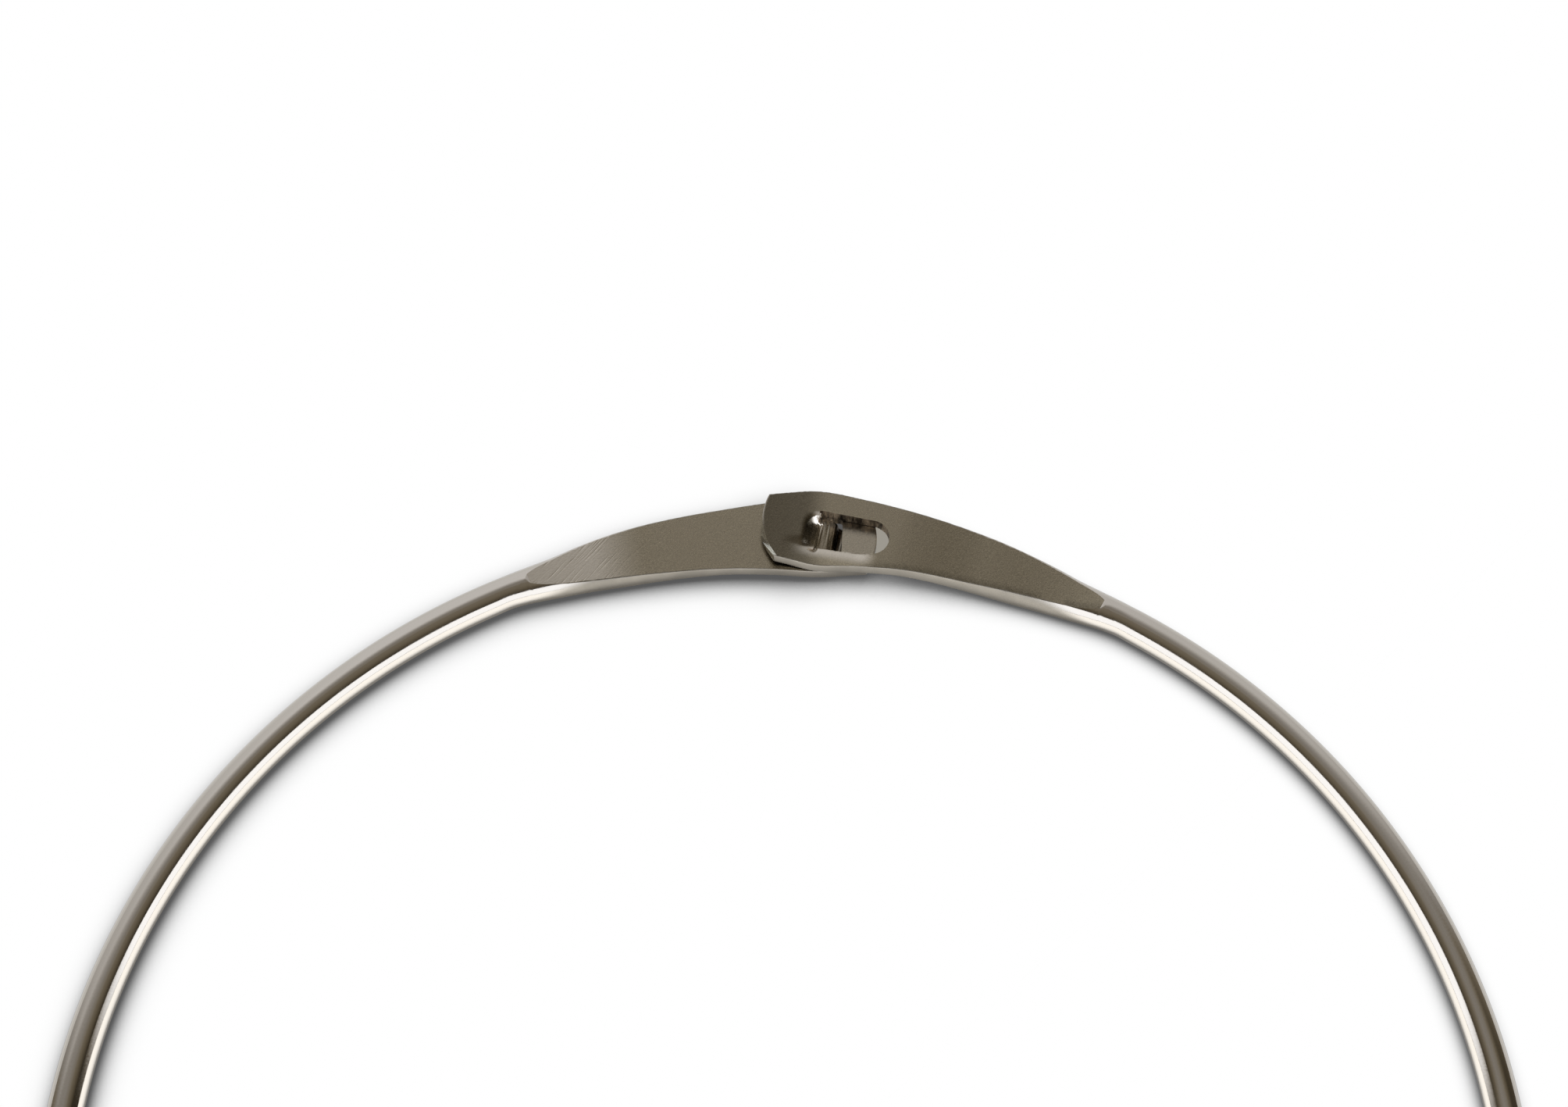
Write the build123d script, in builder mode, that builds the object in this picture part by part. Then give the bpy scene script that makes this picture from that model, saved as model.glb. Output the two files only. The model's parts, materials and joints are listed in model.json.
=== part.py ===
from build123d import *
from math import asin, cos, degrees, radians, sin, tan
import os

# Locking key ring: one length of round spring wire bent to a ring, with both ends pressed
# flat into blades that lap over each other. A tongue lanced out of the upper blade passes
# down through a window in the lower blade and hooks under its tip.
#
# Frame: the ring's centre is the origin in plan, the surface it lies on is z = 0, and the
# lock is at +Y. Lengths are in millimetres, and angles are in degrees from the lock.

# Ring
ring_diameter = 101.6      # outside, across the round wire
wire_diameter = 2.50

# Blades, pressed from the wire
blade_angle = 25.5         # from the lock to the start of the flat
lead_angle = 3.5           # round wire that belongs to a blade, before its flat
head_outer = 3.30          # half width outwards of the wire's centre line, at the lock
head_inner = 3.04          # half width inwards of it
side_height = 4.4          # half height of the oval that the head's sides belong to
blade_thickness = 0.95     # over the lap
root_thickness = 1.35      # where the press ramp eases into the blade
ramp_slope = 7.5           # the flat leaves the top of the wire at this angle
root_share = 0.58          # of the way from the flat's start to the level head
root_rise_share = 0.45     # of the head's rise that is reached there
head_margin = 0.2          # level metal beyond the slot's round end
upper_lap = 4.20           # from the lock to the crown of either tip
lower_lap = 4.45
tip_radius = 5.0           # convex end, seen from above
upper_crown = 0.85         # outwards from the wire's centre line to the tip's crown
lower_crown = 0.05
tip_curl_radius = 18.0     # the upper tip turns up along this radius
tip_under_radius = 10.0    # its underside turns up faster, so that the tip thins
tip_curl_start = -1.0      # along the tangent from the lock

# How a blade spreads: share of the way from the flat's start to the lock, then the shares
# of the widening outwards, of the widening inwards, of the side height and of the rise
spread = (
    (0.09, 0.04, 0.285, 0.05, 0.0),
    (0.19, 0.163, 0.42, 0.12, 0.02),
    (0.34, 0.315, 0.585, 0.28, 0.12),
    (0.67, 0.56, 0.79, 0.72, 0.65),
    (0.85, 0.79, 0.92, 0.90, 0.87),
    (1.00, 1.00, 1.00, 1.00, 1.0),
)
# The same past the lock, where the upper tip is the narrower
upper_tip = (
    (1.12, 0.86, 0.72, 1.00, 1.0),
    (1.25, 0.61, 0.40, 1.00, 1.0),
)
lower_tip = (
    (1.12, 0.90, 0.90, 1.00, 1.0),
    (1.25, 0.72, 0.74, 1.00, 1.0),
)

# Lock
slot_length = 5.5
slot_root_width = 3.10
slot_end_width = 2.84
slot_turn = 7.5            # the slot follows the blade's own middle line
slot_root = -0.1           # the tongue's root, along the tangent from the lock
slot_offset = 0.10         # outwards from the wire's centre line
slot_edge_radius = 0.35    # metal drawn down round the slot
tongue_play = 0.15         # beside the tongue, in the slot
tongue_bend_radius = 0.35
tongue_bend = 76.0
window_length = 4.75
window_play = 0.10         # beside the tongue, in the window
window_end_play = 0.16     # past the tongue, so that it can be unhooked
window_corner_radius = 0.25
lap_gap = 0.05             # between the blades, and between the tongue and the lower one
floor_gap = 0.02           # under the tongue

# Derived places
wire_radius = wire_diameter / 2
ring_radius = ring_diameter / 2 - wire_radius
joint_angle = blade_angle + lead_angle
blade_turn = blade_angle / 2
head_run = slot_root + slot_length + head_margin
tongue_height = floor_gap + blade_thickness / 2
lower_height = tongue_height + blade_thickness + lap_gap
upper_height = lower_height + blade_thickness + lap_gap
slot_direction = Vector(1, 0, 0).rotate(Axis.Z, -slot_turn)
slot_centre = Vector(slot_root, ring_radius + slot_offset, 0)

# The tongue's run: one bend down, a straight, the same bend back and a level hook. Its
# length is the slot's, because it was cut out of it.
bend_radius = tongue_bend_radius + blade_thickness / 2
bend_turn = radians(tongue_bend)
bend_drop = 2 * bend_radius * (1 - cos(bend_turn))
straight_length = (upper_height - tongue_height - bend_drop) / sin(bend_turn)
bend_run = 2 * bend_radius * sin(bend_turn) + straight_length * cos(bend_turn)
hook_length = slot_length - 2 * bend_radius * bend_turn - straight_length
tongue_reach = bend_run + hook_length


def outwards(angle):
    """Direction away from the ring's centre, at an angle to the right of the lock."""
    return Vector(sin(radians(angle)), cos(radians(angle)), 0)


def oval(angle, outer, inner, half_height, rise):
    """Section of a blade's body before it is pressed, as two halves that meet on top."""
    across = outwards(angle)
    plane = Plane(
        origin=across * ring_radius + Vector(0, 0, wire_radius),
        x_dir=across,
        z_dir=across.rotate(Axis.Z, -90),
    )
    centre = ((outer - inner) / 2, rise)
    half_width = (outer + inner) / 2
    with BuildSketch(plane) as section:
        with BuildLine():
            EllipticalCenterArc(centre, half_width, half_height, -90, arc_size=180)
            EllipticalCenterArc(centre, half_width, half_height, 90, arc_size=180)
        make_face()
    return section.sketch


def press_gap(height):
    """Space between the press tools, drawn from the side and as deep as the blade is wide."""
    depth = ring_radius / 3
    across = outwards(blade_turn)
    side = Plane(
        origin=across * (ring_radius - depth / 2),
        x_dir=across.rotate(Axis.Z, 90),
        z_dir=across,
    )
    start = -ring_radius * sin(radians(blade_angle - blade_turn))
    level = ring_radius * sin(radians(blade_turn)) - head_run
    end = level + 3 * head_run
    root = start + root_share * (level - start)
    root_height = wire_radius + root_rise_share * (height - wire_radius)
    slope = tan(radians(ramp_slope))
    lead = 2 * ring_radius * sin(radians(lead_angle))
    with BuildPart() as gap:
        with BuildSketch(side):
            with BuildLine():
                over = Spline(
                    (start, wire_diameter),
                    (root, root_height + root_thickness / 2),
                    (level, height + blade_thickness / 2),
                    tangents=[(1, -slope), (1, 0)],
                )
                under = Spline(
                    (start, 0),
                    (root, root_height - root_thickness / 2),
                    (level, height - blade_thickness / 2),
                    tangents=[(1, slope), (1, 0)],
                )
                Polyline(
                    over @ 1,
                    (end, height + blade_thickness / 2),
                    (end, height - blade_thickness / 2),
                    under @ 1,
                )
                Polyline(
                    over @ 0,
                    (start - lead, wire_diameter + lead * slope),
                    (start - lead, -lead * slope),
                    under @ 0,
                )
            make_face()
        extrude(amount=depth)
    return gap.part


def curled_gap(height):
    """The same space, with its end turned up past the start of the tip's curl."""
    over_centre = (tip_curl_start, height + blade_thickness / 2 + tip_curl_radius)
    under_centre = (tip_curl_start, height - blade_thickness / 2 + tip_under_radius)
    over_turn = -degrees(asin(upper_lap / tip_curl_radius))
    under_turn = -degrees(asin(upper_lap / tip_under_radius))
    with BuildPart() as gap:
        add(press_gap(height))
        split(bisect_by=Plane.YZ.offset(tip_curl_start), keep=Keep.TOP)
        with BuildSketch(Plane.XZ.offset(-ring_radius)):
            with BuildLine():
                over = CenterArc(over_centre, tip_curl_radius, -90, over_turn)
                under = CenterArc(under_centre, tip_under_radius, -90, under_turn)
                Line(over @ 0, under @ 0)
                Line(over @ 1, under @ 1)
            make_face()
        extrude(amount=ring_radius / 6, both=True)
    return gap.part


def blade(gap, height, lap, crown, tip):
    """Flattened wire end to the right of the lock, with its convex tip past the lock."""
    sections = [
        oval(angle, wire_radius, wire_radius, wire_radius, 0)
        for angle in (joint_angle, joint_angle - lead_angle / 2)
    ]
    for share, outer, inner, side, rise in spread + tip:
        sections.append(
            oval(
                blade_angle * (1 - share),
                wire_radius + outer * (head_outer - wire_radius),
                wire_radius + inner * (head_inner - wire_radius),
                wire_radius + side * (side_height - wire_radius),
                rise * (height - wire_radius),
            )
        )
    with BuildPart() as body:
        loft(sections)
        add(gap, mode=Mode.INTERSECT)
        with BuildSketch():
            with Locations((tip_radius - lap, ring_radius + crown)):
                Circle(tip_radius)
                Rectangle(ring_radius, 2 * tip_radius, align=(Align.MIN, Align.CENTER))
            with Locations((ring_radius / 2, ring_radius)):
                Rectangle(ring_radius, ring_radius / 3)
        extrude(amount=2 * wire_diameter, both=True, mode=Mode.INTERSECT)
    return body.part


def round_ended(root_width, end_width, length, back):
    """Outline of the slot or the tongue: straight sides that draw in to a round end."""
    with BuildSketch(Plane(origin=slot_centre, x_dir=slot_direction)) as outline:
        with BuildLine():
            Line((-back, -root_width / 2), (-back, root_width / 2))
            CenterArc((length - end_width / 2, 0), end_width / 2, -90, 180)
        make_hull()
    return outline.sketch


def tongue():
    """Strip that leaves the upper blade at the slot's root and hooks under the lower tip."""
    back = 2 * slot_edge_radius
    side = Plane(
        origin=slot_centre + Vector(0, 0, upper_height),
        x_dir=slot_direction,
        z_dir=slot_direction.rotate(Axis.Z, -90),
    )
    with BuildPart() as strip:
        with BuildSketch(side):
            with BuildLine():
                root = Line((-back, 0), (0, 0))
                down = JernArc(root @ 1, root % 1, bend_radius, -tongue_bend)
                straight = PolarLine(down @ 1, straight_length, direction=down % 1)
                up = JernArc(straight @ 1, straight % 1, bend_radius, tongue_bend)
                PolarLine(up @ 1, hook_length, direction=up % 1)
            trace(line_width=blade_thickness)
        extrude(amount=slot_root_width, both=True)
        root_width = slot_root_width - 2 * tongue_play
        end_width = slot_end_width - 2 * tongue_play
        outline = round_ended(root_width, end_width, tongue_reach, back)
        extrude(outline, amount=2 * upper_height, mode=Mode.INTERSECT)
    return strip.part


with BuildPart() as wire:
    with BuildLine() as bend:
        CenterArc((0, 0, wire_radius), ring_radius, 90 + joint_angle, 360 - 2 * joint_angle)
    with BuildSketch(Plane(origin=bend.line @ 0, z_dir=bend.line % 0)):
        Circle(wire_radius)
    sweep()

with BuildPart() as upper_blade:
    turned_up = curled_gap(upper_height)
    add(blade(turned_up, upper_height, upper_lap, upper_crown, upper_tip))
    slot = round_ended(slot_root_width, slot_end_width, slot_length, 0)
    extrude(slot, amount=2 * upper_height, mode=Mode.SUBTRACT)
    level_top = faces().filter_by(Plane.XY).group_by(Axis.Z)[-1].sort_by(SortBy.AREA)[-1]
    fillet(level_top.inner_wires()[0].edges(), slot_edge_radius)
    add(tongue())

with BuildPart() as lower_blade:
    level = press_gap(lower_height)
    flat_end = blade(level, lower_height, lower_lap, lower_crown, lower_tip)
    add(mirror(flat_end, about=Plane.YZ))
    window_end = slot_centre + slot_direction * bend_run + Vector(window_end_play, 0, 0)
    window_middle = slot_centre + slot_direction * (bend_run / 2)
    with BuildSketch():
        with Locations((window_end.X, window_middle.Y)):
            Rectangle(
                window_length, slot_root_width + 2 * window_play, align=(Align.MAX, Align.CENTER)
            )
        fillet(vertices(), window_corner_radius)
    extrude(amount=2 * lower_height, mode=Mode.SUBTRACT)

with BuildPart() as ring:
    add(wire.part)
    add(upper_blade.part)
    add(lower_blade.part)

ring.part.label = "ring"
os.makedirs("parts", exist_ok=True)
export_step(ring.part, "parts/ring.step")
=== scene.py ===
import json
from math import asin, atan2, cos, hypot, pi, radians, sin, sqrt, tan
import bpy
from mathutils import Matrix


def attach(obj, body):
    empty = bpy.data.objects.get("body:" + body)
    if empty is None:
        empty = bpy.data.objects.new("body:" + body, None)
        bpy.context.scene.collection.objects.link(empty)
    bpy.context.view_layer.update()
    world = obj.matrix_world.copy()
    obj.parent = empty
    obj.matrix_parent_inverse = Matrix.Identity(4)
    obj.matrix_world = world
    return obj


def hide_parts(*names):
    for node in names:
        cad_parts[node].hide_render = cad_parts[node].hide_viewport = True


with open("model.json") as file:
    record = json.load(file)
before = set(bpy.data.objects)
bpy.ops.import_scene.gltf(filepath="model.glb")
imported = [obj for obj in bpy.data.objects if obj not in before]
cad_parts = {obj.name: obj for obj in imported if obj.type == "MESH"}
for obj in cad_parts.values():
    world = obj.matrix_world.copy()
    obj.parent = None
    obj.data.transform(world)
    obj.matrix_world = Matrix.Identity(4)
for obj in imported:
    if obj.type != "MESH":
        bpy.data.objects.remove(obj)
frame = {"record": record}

from types import SimpleNamespace

import bmesh
import bpy
from bpy.props import FloatProperty, FloatVectorProperty, IntProperty, PointerProperty
from mathutils import Matrix, Vector, noise

bl_info = {
    "name": "Locking Key Ring",
    "version": (1, 0, 0),
    "blender": (4, 5, 0),
    "location": "3D Viewport > Sidebar > Key Ring",
    "description": "Builds a wire key ring whose pressed ends hook into each other",
    "category": "Add Mesh",
}

MM = 0.001
MOUNTS = {mount["name"]: mount for mount in frame["record"]["mounts"]}
KEY_WIRE = Vector(MOUNTS["key_wire"]["pos_m"])


def length(name, description, millimetres):
    """A size that the sidebar shows in the scene's own unit."""
    return FloatProperty(
        name=name, description=description, default=millimetres * MM, unit="LENGTH", precision=5
    )


def angle(name, description, degrees):
    """An angle that the sidebar shows in degrees."""
    return FloatProperty(
        name=name, description=description, default=radians(degrees), subtype="ANGLE"
    )


def share(name, description, default):
    """A plain number."""
    return FloatProperty(name=name, description=description, default=default, precision=3)


def count(name, description, default):
    """A number of copies or steps."""
    return IntProperty(name=name, description=description, default=default, min=1)


def colour(name, description, default):
    """A surface colour."""
    return FloatVectorProperty(
        name=name, description=description, default=default, subtype="COLOR", min=0, max=1
    )


# --- Sizes -------------------------------------------------------------------------------


class WireSizes(bpy.types.PropertyGroup):
    """The round wire."""

    ring_radius: length("Ring radius", "From the ring's centre to the wire's", -KEY_WIRE.y / MM)
    wire_radius: length("Wire radius", "Half the wire's thickness", KEY_WIRE.z / MM)
    wire_steps: count("Wire steps", "Steps along the round wire", 300)


class BladeSizes(bpy.types.PropertyGroup):
    """The two ends, pressed from the wire. Angles are measured from the lock."""

    blade_angle: angle("Flat start", "Where the flat begins", 25.5)
    lead_angle: angle("Lead", "Round wire that belongs to a blade", 3.5)
    head_outer: length("Outer half width", "Outwards of the wire's centre, at the lock", 3.30)
    head_inner: length("Inner half width", "Inwards of the wire's centre, at the lock", 3.04)
    side_height: length("Side height", "Half height of the oval that the sides follow", 4.4)
    thickness: length("Thickness", "Of a blade over the lap", 0.95)
    root_thickness: length("Root thickness", "Where the ramp eases into the blade", 1.35)
    ramp_slope: angle("Ramp slope", "At which the flat leaves the top of the wire", 7.5)
    root_share: share("Root place", "Share of the way from the flat's start to the head", 0.58)
    root_rise_share: share("Root rise", "Share of the head's rise reached at the root", 0.45)
    head_margin: length("Head margin", "Level metal beyond the slot's round end", 0.2)
    upper_lap: length("Upper lap", "From the lock to the crown of the upper tip", 4.20)
    lower_lap: length("Lower lap", "From the lock to the crown of the lower tip", 4.45)
    tip_radius: length("Tip radius", "Of the convex end, seen from above", 5.0)
    upper_crown: length("Upper crown", "Outwards from the wire's centre to the tip's crown", 0.85)
    lower_crown: length("Lower crown", "Outwards from the wire's centre to the tip's crown", 0.05)
    curl_radius: length("Curl radius", "The upper tip turns up along it", 30.0)
    under_radius: length("Underside curl", "Turns up faster, so that the tip thins", 20.0)
    curl_start: length("Curl start", "Along the tangent from the lock", 0.5)
    end_slant: length("End slant", "Of the upper tip's sheared end, on its inner half", 0.28)
    edge_round: length("Edge rounding", "Of the blades' long edges", 0.07)
    end_round: length("End rounding", "Of the blades' cut ends", 0.04)
    edge_wear: share("Edge wear", "How much the rounding varies along an edge", 0.55)
    face_steps: count("Face steps", "Steps across a blade's face", 46)
    side_steps: count("Side steps", "Steps down a blade's side", 14)
    corner_steps: count("Corner steps", "Steps round a long edge", 3)
    ramp_steps: count("Ramp steps", "Steps along the tapering flat", 80)
    head_steps: count("Head steps", "Steps along the level head", 92)
    lead_steps: count("Lead steps", "Steps along the lead", 12)


class LockSizes(bpy.types.PropertyGroup):
    """The slot and tongue of the upper blade, and the window of the lower one."""

    slot_length: length("Slot length", "From the tongue's root to the round end", 5.5)
    slot_root_width: length("Slot root width", "At the tongue's root", 3.10)
    slot_end_width: length("Slot end width", "Diameter of the round end", 2.84)
    slot_turn: angle("Slot turn", "The slot follows the blade's own middle line", 7.5)
    slot_root: length("Slot root", "Along the tangent from the lock", -0.1)
    slot_offset: length("Slot offset", "Outwards from the wire's centre", 0.10)
    dish_reach: length("Dish reach", "How far behind its root the tongue starts down", 0.95)
    dish_slope: angle("Dish slope", "At which the metal goes down to the root", 35.0)
    dish_wall: length("Dish wall", "Width of the steep wall on the dish's outer side", 0.36)
    rim_drop: length("Rim drop", "Of the slot's inner edge, which the dish pulled down", 0.25)
    rim_width: length("Rim width", "From the slot's inner edge to level metal", 1.5)
    tongue_play: length("Tongue play", "Beside the tongue, in the slot", 0.15)
    bend_radius: length("Bend radius", "Inside either bend of the tongue", 0.35)
    bend_turn: angle("Bend", "How far the tongue bends down", 76.0)
    window_length: length("Window length", "Along the lower blade", 4.75)
    window_play: length("Window play", "Beside the tongue", 0.10)
    window_end_play: length("Window end play", "Past the tongue, to unhook it", 0.16)
    window_corner: length("Window corner", "Radius of its corners", 0.25)
    lap_gap: length("Lap gap", "Between the two blades", 0.05)
    floor_gap: length("Floor gap", "Under the tongue", 0.02)
    torn: length("Torn walls", "Roughness of the sheared walls", 0.035)


class Finish(bpy.types.PropertyGroup):
    """Nickel plate, what pressing did to it, and the painted shade on it."""

    nickel: colour("Nickel", "Bright plate", (0.70, 0.655, 0.59))
    pressed: colour("Pressed nickel", "Satin plate on the flats", (0.37, 0.322, 0.235))
    # Squeezed plate is duller, and its darker tone is partly painted shade for the shaded floor the
    # sides reflect
    squeezed: colour("Squeezed nickel", "Dull plate on the blades' sides", (0.355, 0.325, 0.275))
    # Torn plate is dull, and its dark tone is partly painted shade, so that the slot and window
    # look deep
    torn: colour("Torn nickel", "Thin plate on sheared walls", (0.20, 0.165, 0.125))
    wire_roughness: share("Wire roughness", "Of the round wire", 0.10)
    pressed_roughness: share("Pressed roughness", "Of the flats", 0.25)
    squeezed_roughness: share("Squeezed roughness", "Of the blades' sides", 0.48)
    torn_roughness: share("Torn roughness", "Of the sheared walls", 0.42)
    # Painted shade: reach of the darkening in narrow recesses
    recess_shade_reach: length("Grime reach", "Of the dark in narrow recesses", 1.2)
    # Painted shade on the upper tip: the share of brightness that it keeps, above a height
    dull: share("Dull tip", "Share of its brightness that the upper tip keeps", 0.54)
    top: length("Dull above", "Height above which the tip is dull", 2.55)
    grain: length("Grain", "Size of the satin grain", 0.11)
    scratch: length("Scratch", "Distance between fine scratches", 0.16)


class Stage(bpy.types.PropertyGroup):
    """Floor, light and camera."""

    azimuth: angle("Azimuth", "Camera to the right of straight on", 2.9)
    elevation: angle("Elevation", "Camera above the floor", 62.0)
    distance: length("Distance", "From the camera to what it looks at", 235.2)
    lens: share("Lens", "Focal length in millimetres", 72.0)
    target_side: length("Aim, sideways", "Where the camera looks, from the ring's centre", -2.47)
    target_depth: length("Aim, backwards", "Where the camera looks, from the ring's centre", 48.32)
    floor_size: length("Floor size", "Side of the floor", 2400.0)
    floor_bounce: share("Floor, lit", "Reflectance on other things", 0.72)
    floor_gloss: share("Floor, reflected", "Brightness in the metal, where 1 is white", 1.42)
    floor_back: share("Floor, behind", "The same for the floor outside the ring", 0.66)
    contact: length("Contact shade", "Reach of the shade where the ring meets the floor", 8.0)
    dark: share("Deepest shade", "Openness at which the shade is deepest", 0.30)
    open: share("Shade's end", "Openness at which the floor is white again", 0.81)
    slot_light: share("Slot light", "Brightness of the floor under the slot's round end", 0.33)
    card: share("Front card", "Brightness of the white surround in front", 1.42)
    back: share("Back card", "Brightness of the grey surround behind", 0.69)
    ceiling: share("Ceiling", "Brightness overhead", 0.19)
    corner: share("Corners", "Brightness of the darkest part of the surround", 0.03)


GROUPS = {
    "key_ring_wire": WireSizes,
    "key_ring_blades": BladeSizes,
    "key_ring_lock": LockSizes,
    "key_ring_finish": Finish,
    "key_ring_stage": Stage,
}


def values(*names):
    """Plain copy of property groups, which is quicker to read than the groups."""
    found = SimpleNamespace()
    for name in names:
        group = getattr(bpy.context.scene, name)
        for key in GROUPS[name].__annotations__:
            setattr(found, key, getattr(group, key))
    return found


def ring_values():
    """Every size of the ring, with the places and the counts that follow from them."""
    ring = values("key_ring_wire", "key_ring_blades", "key_ring_lock")
    step = ring.thickness + ring.lap_gap
    ring.tongue_height = ring.floor_gap + ring.thickness / 2
    ring.lower_height = ring.tongue_height + step
    ring.upper_height = ring.lower_height + step
    ring.gap_middle = (ring.lower_height + ring.upper_height) / 2
    ring.blade_turn = ring.blade_angle / 2
    ring.head_run = ring.slot_root + ring.slot_length + ring.head_margin
    ring.joint_angle = ring.blade_angle + ring.lead_angle
    ring.level_run = ring.ring_radius * sin(ring.blade_turn) - ring.head_run
    ring.level_angle = ring.blade_turn - asin(ring.level_run / ring.ring_radius)
    ring.neutral_radius = ring.bend_radius + ring.thickness / 2
    drop = 2 * ring.neutral_radius * (1 - cos(ring.bend_turn))
    height = ring.upper_height - ring.tongue_height
    ring.straight = (height - drop) / sin(ring.bend_turn)
    ring.bend_run = 2 * ring.neutral_radius * sin(ring.bend_turn)
    ring.bend_run += ring.straight * cos(ring.bend_turn)
    ring.hook = ring.slot_length - 2 * ring.neutral_radius * ring.bend_turn - ring.straight
    # Steps down a side with both its corners, and right round a section
    ring.edge_steps = ring.side_steps + 2 * ring.corner_steps
    ring.around = 2 * (ring.face_steps + ring.edge_steps)
    return ring


# --- Shape of a blade --------------------------------------------------------------------

# Share of the way from the flat's start to the lock, then the shares of the widening
# outwards, of the widening inwards, of the side height and of the rise
SPREAD = (
    (-0.137, 0.0, 0.0, 0.0, 0.0),
    (-0.069, 0.0, 0.0, 0.0, 0.0),
    (0.09, 0.04, 0.285, 0.05, 0.0),
    (0.19, 0.163, 0.42, 0.12, 0.02),
    (0.34, 0.315, 0.585, 0.28, 0.12),
    (0.67, 0.56, 0.79, 0.72, 0.65),
    (0.85, 0.79, 0.92, 0.90, 0.87),
    (1.00, 1.00, 1.00, 1.00, 1.0),
)
# The same past the lock, where the upper tip is the narrower
UPPER_TIP = ((1.12, 0.86, 0.72, 1.00, 1.0), (1.25, 0.61, 0.40, 1.00, 1.0))
LOWER_TIP = ((1.12, 0.90, 0.82, 1.00, 1.0), (1.25, 0.72, 0.52, 1.00, 1.0))


def mix(low, high, part):
    return low + part * (high - low)


def clamp(part):
    return min(1.0, max(0.0, part))


def ease(low, high, at):
    """0 below low, 1 above high and smooth in between, or the other way round."""
    part = clamp((at - low) / (high - low))
    return part * part * (3 - 2 * part)


def smooth_through(rows, at, column=1, slopes=(None, None)):
    """Value of a column on a smooth curve through the rows, held level past either end."""
    if at <= rows[0][0]:
        return rows[0][column]
    if at >= rows[-1][0]:
        return rows[-1][column]
    here = max(i for i, row in enumerate(rows) if row[0] < at)
    low, high = rows[here], rows[here + 1]
    run = high[0] - low[0]

    def slope(i, given):
        if given is not None:
            return given
        left, right = rows[max(i - 1, 0)], rows[min(i + 1, len(rows) - 1)]
        return (right[column] - left[column]) / (right[0] - left[0])

    start = slope(here, slopes[0] if here == 0 else None)
    end = slope(here + 1, slopes[1] if here + 2 == len(rows) else None)
    part = (at - low[0]) / run
    square, cube = part * part, part * part * part
    return (
        (2 * cube - 3 * square + 1) * low[column]
        + (cube - 2 * square + part) * run * start
        + (3 * square - 2 * cube) * high[column]
        + (cube - square) * run * end
    )


def body(ring, blade, turn):
    """The oval that a blade's section is cut from, at an angle from the lock."""
    at = (ring.blade_angle - turn) / ring.blade_angle
    outer, inner, side, rise = (
        smooth_through(SPREAD + blade.tip, at, column, (0.0, None)) for column in (1, 2, 3, 4)
    )
    outer = mix(ring.wire_radius, ring.head_outer, outer)
    inner = mix(ring.wire_radius, ring.head_inner, inner)
    return SimpleNamespace(
        centre=(outer - inner) / 2,
        half_width=(outer + inner) / 2,
        middle=ring.wire_radius + rise * (blade.height - ring.wire_radius),
        half_height=mix(ring.wire_radius, ring.side_height, side),
    )


def on_oval(oval, side, lift):
    """Offset and height on a section's oval, at an angle above its middle."""
    return (
        oval.centre + side * oval.half_width * cos(lift),
        oval.middle + oval.half_height * sin(lift),
    )


def over_floor(ring, turn, offset):
    """Point at height 0, an angle clockwise from the lock and an offset from the wire's middle."""
    return Vector((sin(turn), cos(turn), 0)) * (ring.ring_radius + offset)


def pressed(ring, blade, turn, offset, over):
    """Height of a blade's upper (over = 1) or lower (-1) face, where the tool pressed it."""
    radius = ring.ring_radius + offset
    run = radius * sin(ring.blade_turn - turn)
    start = -ring.ring_radius * sin(ring.blade_angle - ring.blade_turn)
    slope = -over * tan(ring.ramp_slope)
    wire_face = ring.wire_radius * (1 + over)
    if run < start:
        return wire_face + slope * (run - start)
    root = mix(start, ring.level_run, ring.root_share)
    root_height = mix(ring.wire_radius, blade.height, ring.root_rise_share)
    rows = (
        (start, wire_face),
        (root, root_height + over * ring.root_thickness / 2),
        (ring.level_run, blade.height + over * ring.thickness / 2),
    )
    face = smooth_through(rows, run, 1, (slope, 0.0))
    past = ring.curl_start - radius * sin(turn)
    if blade.curled and past > 0:
        curl = ring.curl_radius if over > 0 else ring.under_radius
        face += curl - sqrt(curl**2 - past**2)
    return face


def corner(ring, blade, turn, side, over):
    """Where a face meets a side: the oval's own angle, the offset and the height."""
    oval = body(ring, blade, turn)
    offset = 0.0
    for _ in range(4):
        level = pressed(ring, blade, turn, offset, over)
        lift = min(1.0, max(-1.0, (level - oval.middle) / oval.half_height))
        offset = oval.centre + side * oval.half_width * cos(asin(lift))
    return asin(lift), offset, oval.middle + lift * oval.half_height


def slot_frame(ring, x, y):
    """Place along and across the slot, from the middle of the tongue's root."""
    x, y = x - ring.slot_root, y - ring.ring_radius - ring.slot_offset
    turn = ring.slot_turn
    return x * cos(turn) - y * sin(turn), x * sin(turn) + y * cos(turn)


def slot_place(ring, along, across):
    """Point at height 0 in the ring's own frame, from a place along and across the slot."""
    turn = ring.slot_turn
    x = ring.slot_root + along * cos(turn) + across * sin(turn)
    y = ring.ring_radius + ring.slot_offset - along * sin(turn) + across * cos(turn)
    return Vector((x, y, 0.0))


def slot_half_width(ring, along):
    """Half the slot's width, which draws in from the root to the round end."""
    taper = clamp(along / (ring.slot_length - ring.slot_end_width / 2))
    return mix(ring.slot_root_width, ring.slot_end_width, taper) / 2


def dish(ring, along):
    """How far the metal behind the tongue's root has gone down."""
    crease = 0.45 * MM
    run = max(0.0, along + ring.dish_reach + crease / 2)
    run = run * run / (2 * crease) if run < crease else run - crease / 2
    return tan(ring.dish_slope) * run


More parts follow.
